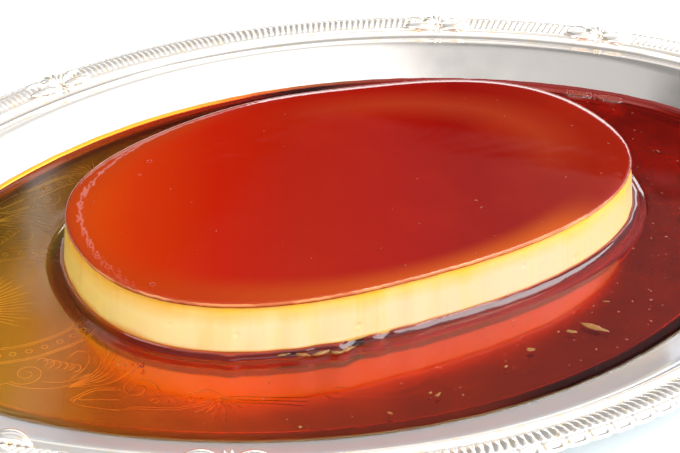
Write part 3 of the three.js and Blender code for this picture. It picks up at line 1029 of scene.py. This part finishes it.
def make_syrup(syrup):
    """The syrup between custard and tray. It reaches just into both, so no gap shows."""
    skin = Skin()
    shares = shares_of(FLAN_STEPS)
    inner = custard_loop(shares, LEVEL)
    normals = plan_normals(flan_xy(shares, 1.9))
    angle = np.arctan2(*(inner - FLAN_CENTRE).T[::-1])
    skin.loop(flan_xy(shares, 1.4), SHEET - SUNK)
    for outward in (WALL_FOOT, WALL_BEND, WALL_BEND_END, 0.0):
        skin.loop(tray_xy_at(angle, outward + 0.35), wall_height(outward + 0.35) - 0.5 * SUNK)
    ragged = 0.1 * rough(shares, 33, 60) + 0.05 * rough(shares, 34, 190)
    for outward, rise in LIP:
        skin.loop(tray_xy_at(angle, outward + ragged * smoothstep(-3, 0, outward)), LEVEL + rise)
    outer = tray_xy_at(angle, LIP[-1][0])
    foot = inner + MENISCUS_END * normals
    for share in np.linspace(1, 0, 40)[1:]:
        xy = foot + share * (outer - foot)
        skin.loop(xy, LEVEL + 0.02 * ripples(xy, 31, 30) * smoothstep(0, 0.1, min(share, 1 - share)))
    for away in MENISCUS_STEPS:
        rise = MENISCUS_HEIGHT * math.exp(-((max(away, 0) / MENISCUS_LENGTH) ** 0.75))
        skin.loop(inner + away * normals, LEVEL + rise * smoothstep(5.2, 3.4, away))
    skin.loop(flan_xy(shares, 1.4), LEVEL + MENISCUS_HEIGHT)
    skin.bridge(skin.last, skin.first)
    piece = mesh_object("syrup_pool", skin.points, skin.faces, syrup)
    xy = np.array(skin.points)[:, :2]
    outward = outward_of(xy)
    nearest = finder(inner)
    away = np.array([nearest.find((x, y, 0))[2] for x, y in xy])
    across = xy @ ACROSS[:2]
    facing = xy / np.square(SYRUP_LINE[:2])
    facing /= np.linalg.norm(facing, axis=1, keepdims=True)
    at_left = smoothstep(-68, -84, across)
    at_back = smoothstep(-0.2, 0.3, facing @ AHEAD)
    at_back_left = at_back * smoothstep(30, -10, across)
    in_lip = smoothstep(-1.6, -0.8, outward)
    shade(
        piece, lip=in_lip, amber_lip=in_lip * at_back_left,
        # Painted dark reflections by the tray's wall at the back.
        band=strip(outward, -0.8, -1.3, -5.2, -6.6) * at_back_left,
        shelf=strip(outward, -4.5, -6.0, -7.5, -10.5) * at_back_left,
        bend=strip(outward, -5.0, -6.5, -8.5, -10) * at_back * smoothstep(20, 50, across),
        # A painted highlight along the front lip.
        front_lip=smoothstep(-0.5, 0.0, outward) * smoothstep(-0.3, -0.7, facing @ AHEAD),
        # A painted shadow of the flan by the left end's foot.
        left_foot=strip(away, 0.1, 0.8, 4.0, 5.0) * at_left,
        # Painted shade round the rest of the custard's foot.
        foot=strip(away, 0.05, 0.3, 1.6, 2.1) * (1 - at_left),
        # A painted arc of focused light beyond that shadow.
        arc=bell(away - 5.6, 1.1) * at_left,
    )
    return piece


def tray_xy_at(angle, outward):
    """The tray's loop in the directions of some angles seen from the flan's centre."""
    if np.ndim(outward):
        inner, outer = tray_xy_at(angle, -1), tray_xy_at(angle, 1)
        return inner + (outward[:, None] + 1) / 2 * (outer - inner)
    loop = tray_xy(shares_of(4000), outward) - FLAN_CENTRE
    loop_angle = np.arctan2(loop[:, 1], loop[:, 0])
    x, y = (np.interp(angle, loop_angle, values, period=2 * np.pi) for values in loop.T)
    return np.stack([x, y], 1) + FLAN_CENTRE


# ---- Flakes, specks and bubbles ----

def flake(rng, centre, half_length, half_width, thickness, heading):
    """A thin uneven scrap that lies flat: its points and faces."""
    corners = 14
    reach = 1 + rng.uniform(-0.28, 0.28, corners)
    rim = (half_length, half_width) * reach[:, None] * circle(2 * np.pi * shares_of(corners))
    rim = turned(rim, heading)
    rings = ((0.55, -0.4), (1.0, 0.0), (0.8, 0.35), (0.4, 0.5))
    points = []
    for scale, lift in rings:
        heights = centre[2] + thickness * (lift + rng.uniform(-0.12, 0.12, corners))
        points.extend(np.column_stack([rim * scale + centre[:2], heights]))
    return points, capped_tube(len(rings), corners)


# Flakes of custard afloat on the syrup: place, half length, half width, heading in degrees.
FLAKES = (
    ((38.9, -82.0), 4.4, 1.2, -56), ((31.5, -81.0), 1.7, 0.8, -40), ((28.0, -79.6), 0.5, 0.3, 10),
    ((15.9, -83.9), 1.4, 0.9, -20), ((-20.7, -89.9), 0.7, 0.4, 20), ((-35.0, -93.3), 0.8, 0.5, -60),
    ((-19.0, -91.5), 1.3, 0.5, 30), ((-59.9, -88.3), 0.6, 0.5, 0), ((-1.6, -60.0), 0.5, 0.35, 0),
    ((33.2, -92.0), 0.5, 0.3, 40), ((-12.8, -94.7), 0.5, 0.3, 80), ((50.0, -72.0), 1.1, 0.3, -30),
    ((5.0, -88.0), 0.8, 0.5, 20), ((-85.0, 70.5), 0.8, 0.4, 30), ((-95.4, -39.7), 0.5, 0.35, 0),
    ((-93.6, -40.6), 0.5, 0.3, 40),
)
# Scraps torn from the custard, in the syrup at its foot.
SCRAPS = (
    ((-50.4, -57.4), 2.6, 0.6, -8), ((-46.0, -59.6), 2.3, 0.6, -35), ((-41.0, -61.0), 2.9, 0.65, 0),
    ((-36.6, -62.8), 2.0, 0.55, -30), ((-33.2, -62.6), 2.4, 0.7, 10), ((-61.8, -51.0), 1.0, 0.5, -50),
)
# Specks on the caramel: place and half length.
TOP_SPECKS = (
    ((28.5, -27.9), 0.8), ((27.8, -32.4), 0.7), ((5.6, -32.8), 0.5), ((62.3, -27.3), 0.7),
    ((74.1, -29.9), 0.6), ((87.9, -13.3), 0.6), ((84.0, 3.0), 0.5), ((-9.6, -52.5), 0.6),
    ((12.7, -55.5), 0.4), ((-56.1, 20.0), 0.4),
)
SPECK_COUNT = 200
TOP_SPECK_COUNT = 26
SPECK_THICKNESS = 0.16
SPECKS_END = -5  # outward


def make_flakes(stuff):
    rng = np.random.default_rng(41)
    pile = Pile()
    for scraps, height, thickness in ((FLAKES, LEVEL - 0.03, 0.34), (SCRAPS, LEVEL + 1.1, 1.2)):
        for (x, y), half_length, half_width, heading in scraps:
            turn = math.radians(heading)
            pile.add(*flake(rng, (x, y, height), half_length, half_width, thickness, turn))
    return pile.piece("custard_flakes", stuff)


def from_centre(reach, angle):
    """A place that lies reach times as far from the flan's centre as the flan's oval."""
    return FLAN_CENTRE + reach * (FLAN[:2] * circle(angle))


def make_specks(stuff):
    """Fine specks, strewn over the front and the right of the syrup and on the caramel."""
    rng = np.random.default_rng(42)
    pile = Pile()
    strewn = 0
    while strewn < SPECK_COUNT:
        angle = rng.uniform(-2.3, 0.5)
        x, y = from_centre(rng.uniform(1.06, 1.6), angle)
        size = rng.uniform(0.07, 0.26)
        if outward_of(np.array([[x, y]]))[0] > SPECKS_END:
            continue
        length = size * rng.uniform(1, 2.2)
        pile.add(*flake(rng, (x, y, LEVEL), length, size, SPECK_THICKNESS, rng.uniform(0, 6.3)))
        strewn += 1
    for (x, y), half_length in TOP_SPECKS:
        at = (x, y, GLAZE_LEVEL - 0.01)
        pile.add(*flake(rng, at, half_length, 0.28 * half_length, 0.22, rng.uniform(0, 6.3)))
    for _ in range(TOP_SPECK_COUNT):
        angle = rng.uniform(0, 2 * math.pi)
        x, y = from_centre(0.92 * math.sqrt(rng.uniform()), angle)
        size = rng.uniform(0.08, 0.2)
        at = (x, y, GLAZE_LEVEL)
        pile.add(*flake(rng, at, 1.6 * size, size, SPECK_THICKNESS, rng.uniform(0, 6.3)))
    return pile.piece("specks", stuff)


# Bubbles in the syrup: place and radius.
BUBBLES = (
    ((-89.2, -43.3), 0.75), ((-88.6, -42.0), 0.4), ((-84.6, 69.6), 0.7), ((-86.0, 68.8), 0.4),
    ((-91.5, -41.5), 0.35), ((27.9, -100.0), 0.35),
)
# Marks that burst bubbles left on the caramel: place and radius.
RING_MARKS = (((-56.1, 40.3), 0.85), ((-80.5, -30.4), 0.8), ((-62.0, 33.0), 0.45))


def make_bubbles(stuff):
    """Low domes that stand in the syrup's surface."""
    pile = Pile()
    sides, rings = 20, 6
    rim = circle(2 * np.pi * shares_of(sides))
    for (x, y), radius in BUBBLES:
        points = []
        for tilt in np.radians(np.linspace(-20, 80, rings)):
            heights = np.full(sides, LEVEL + 0.7 * radius * math.sin(tilt))
            points.extend(np.column_stack([radius * math.cos(tilt) * rim + (x, y), heights]))
        pile.add(points, capped_tube(rings, sides))
    return pile.piece("bubbles", stuff)


def make_ring_marks(stuff):
    pile = Pile()
    sides, corners = 28, 8
    for (x, y), radius in RING_MARKS:
        points = []
        for turn in 2 * np.pi * shares_of(sides):
            for tilt in -2 * np.pi * shares_of(corners):
                reach = radius + 0.2 * math.cos(tilt)
                height = GLAZE_LEVEL - 0.01 + 0.1 * math.sin(tilt) * (1 + 0.3 * math.sin(turn))
                points.append((x + reach * math.cos(turn), y + reach * math.sin(turn), height))
        pile.add(points, tube_faces(sides, corners, closed=True))
    return pile.piece("ring_marks", stuff)


# ---- Floor, light and camera ----

# The view: its rise and roll, the point it turns about, and its focal length in frame widths.
VIEW_RISE = math.radians(30.852)
VIEW_ROLL = math.radians(0.253)
VIEW_TARGET = Vector((-4.285, 2.809, LEVEL)) * MM
VIEW_DISTANCE = 525.708 * MM
FOCAL_WIDTHS = 1600 / 680
SENSOR = 36.0


def make_camera():
    camera = bpy.data.objects.new("camera", bpy.data.cameras.new("camera"))
    camera.data.sensor_fit = "HORIZONTAL"
    camera.data.sensor_width = SENSOR
    camera.data.lens = SENSOR * FOCAL_WIDTHS
    camera.data.clip_start = 0.01
    turn = Matrix.Rotation(VIEW_TURN, 4, "Z") @ Matrix.Rotation(math.pi / 2 - VIEW_RISE, 4, "X")
    turn @= Matrix.Rotation(VIEW_ROLL, 4, "Z")
    away = Matrix.Translation((0, 0, VIEW_DISTANCE))
    camera.matrix_world = Matrix.Translation(VIEW_TARGET) @ turn @ away
    bpy.context.scene.collection.objects.link(camera)
    bpy.context.scene.camera = camera


def make_floor():
    table = Shader("pale_table", Roughness=0.6, Emission_Color=(0.9, 0.97, 1), Emission_Strength=0.35)
    table.drive(Base_Color=table.mix(table.noise(6, detail=2), (0.5, 0.545, 0.56), (0.53, 0.575, 0.59)))
    half = 3000.0
    corners = [(-half, -half, 0), (half, -half, 0), (half, half, 0), (-half, half, 0)]
    mesh_object("table", corners, [(0, 1, 2, 3)], table.material)


# Directions are given by how far they point to the camera's right, ahead of it and up.
# The room ahead: how far right, strength of its light. It is dark ahead, with a pale wall right.
ROOM_AHEAD = (
    (-1.0, 0.2), (-0.7, 0.16), (-0.45, 0.1), (-0.3, 0.06), (-0.19, 0.05), (-0.12, 0.03), (-0.08, 0.035),
    (-0.055, 0.085), (0.0, 0.14), (0.1, 0.23), (0.2, 0.27), (0.35, 0.4), (0.6, 0.8), (1.0, 1.1),
)
ROOM_SLANT = 1.0
ROOM_BEHIND = (0.45, 0.3)  # straight behind, and how much it grows to the right
CEILING = 0.5
# Where the room passes from behind to ahead and from walls to ceiling, and how softly.
AHEAD_FROM = (0.0, 0.25)
CEILING_FROM = (0.84, 0.1)
# Windows and dark panels: right from and to, ahead from and to, up from and to, softness, strength.
PANELS = (
    (-0.32, -0.1, 0.3, 1.1, 0.16, 0.3, 0.01, 1.2),
    (-0.1, 1.1, 0.3, 1.1, 0.1, 0.27, 0.01, 4.5),
    (-0.5, 0.6, 0.3, 0.8, 0.66, 0.79, 0.02, 0.9),
    (-0.6, 0.35, 0.25, 0.5, 0.84, 1.1, 0.03, 0.12),
    (0.075, 0.5, 0.06, 0.5, 0.5, 1.1, 0.012, 1.3),
    (-0.06, 0.5, -0.12, 0.06, 0.5, 1.1, 0.02, 2.2),
    (-0.6, 0.75, -1.1, -0.47, 0.15, 0.8, 0.03, 1.6),
    (0.42, 0.84, -0.55, 0.4, 0.25, 1.1, 0.02, 10.0),
    (-0.95, -0.6, -0.85, -0.25, 0.05, 0.6, 0.03, 3.5),
    (-0.2, -0.173, 0.3, 1.1, 0.575, 0.75, 0.005, 0.75),
    (-0.183, -0.155, 0.3, 1.1, 0.545, 0.575, 0.005, 0.75),
    (-0.193, -0.175, 0.3, 1.1, 0.3, 0.545, 0.004, 1.6),
    (-0.7, -0.205, 0.3, 0.95, 0.535, 0.66, 0.01, 0.12),
)
# The dark wall ahead: right from and to, up from and to, softness; and how much it rises to the right.
DARK_WALL = (-0.05, 0.4, 0.3, 0.4525, 0.006)
DARK_WALL_SLANT = 0.14
DARK_WALL_STRENGTH = 0.03


def make_light():
    """A white studio: dark ahead, windows high on the right and at the back left, pale behind."""
    world = bpy.data.worlds.new("studio")
    bpy.context.scene.world = world
    world.use_nodes = True
    room = Nodes(world.node_tree)
    work = room.work
    pointing = room.node("ShaderNodeTexCoord").outputs["Generated"]
    right, ahead, up = (room.dot(pointing, way) for way in ((*RIGHT, 0), (*AHEAD, 0), UP))

    def rise(value, at, soft):
        """Goes from 0 to 1 as the value passes a place."""
        return room.remap(value, at - soft, at + soft, smooth=True)

    def fall(value, at, soft):
        return room.remap(value, at - soft, at + soft, 1, 0, smooth=True)

    def product(first, *others):
        for other in others:
            first = work("MULTIPLY", first, other)
        return first

    def blend(share, first, second):
        return work("ADD", first, work("MULTIPLY", share, work("SUBTRACT", second, first)))

    slanted = work("ADD", right, work("MULTIPLY", work("SUBTRACT", up, 0.5), ROOM_SLANT))
    strongest = max(strength for _, strength in ROOM_AHEAD)
    shares = room.ramp(slanted, [(at, strength / strongest) for at, strength in ROOM_AHEAD])
    total = work("MULTIPLY", shares, strongest)
    behind = work("ADD", ROOM_BEHIND[0], work("MULTIPLY", right, ROOM_BEHIND[1]))
    total = blend(rise(ahead, *AHEAD_FROM), behind, total)
    total = blend(rise(up, *CEILING_FROM), total, CEILING)
    tipped = work("SUBTRACT", up, work("MULTIPLY", right, DARK_WALL_SLANT))
    right_from, right_to, up_from, up_to, soft = DARK_WALL
    dark = product(
        rise(right, right_from, soft), rise(tipped, up_from, soft),
        fall(right, right_to, soft), fall(tipped, up_to, 0.008), rise(ahead, 0.6, 0.02),
    )
    total = blend(dark, total, DARK_WALL_STRENGTH)
    for *edges, soft, strength in PANELS:
        sides = []
        for value, low, high in zip((right, ahead, up), edges[::2], edges[1::2]):
            sides += [rise(value, low, soft), fall(value, high, soft)]
        total = blend(product(*sides), total, strength)
    background = room.tree.nodes["Background"]
    room.feed(background.inputs["Strength"], total)
    room.feed(background.inputs["Color"], (0.97, 0.985, 1.0))


# ---- Assembly ----

make_camera()
make_light()
make_floor()
silver = silver_material()
place(make_tray(silver), "serving_tray")
place(make_ornaments(silver))
place(make_custard(custard_material()), "custard")
caramel = caramel_material()
place(make_caramel(caramel), "caramel_top")
place(make_ring_marks(caramel))
syrup = syrup_material()
place(make_syrup(syrup), "caramel_syrup")
place(make_bubbles(syrup))
place(make_flakes(scrap_material("flakes", (0.17, 0.065, 0.016), (0.32, 0.16, 0.045))))
place(make_specks(scrap_material("specks", (0.16, 0.035, 0.02), (0.38, 0.12, 0.06))))

scene = bpy.context.scene
scene.view_settings.view_transform = "Standard"
scene.view_settings.look = "None"
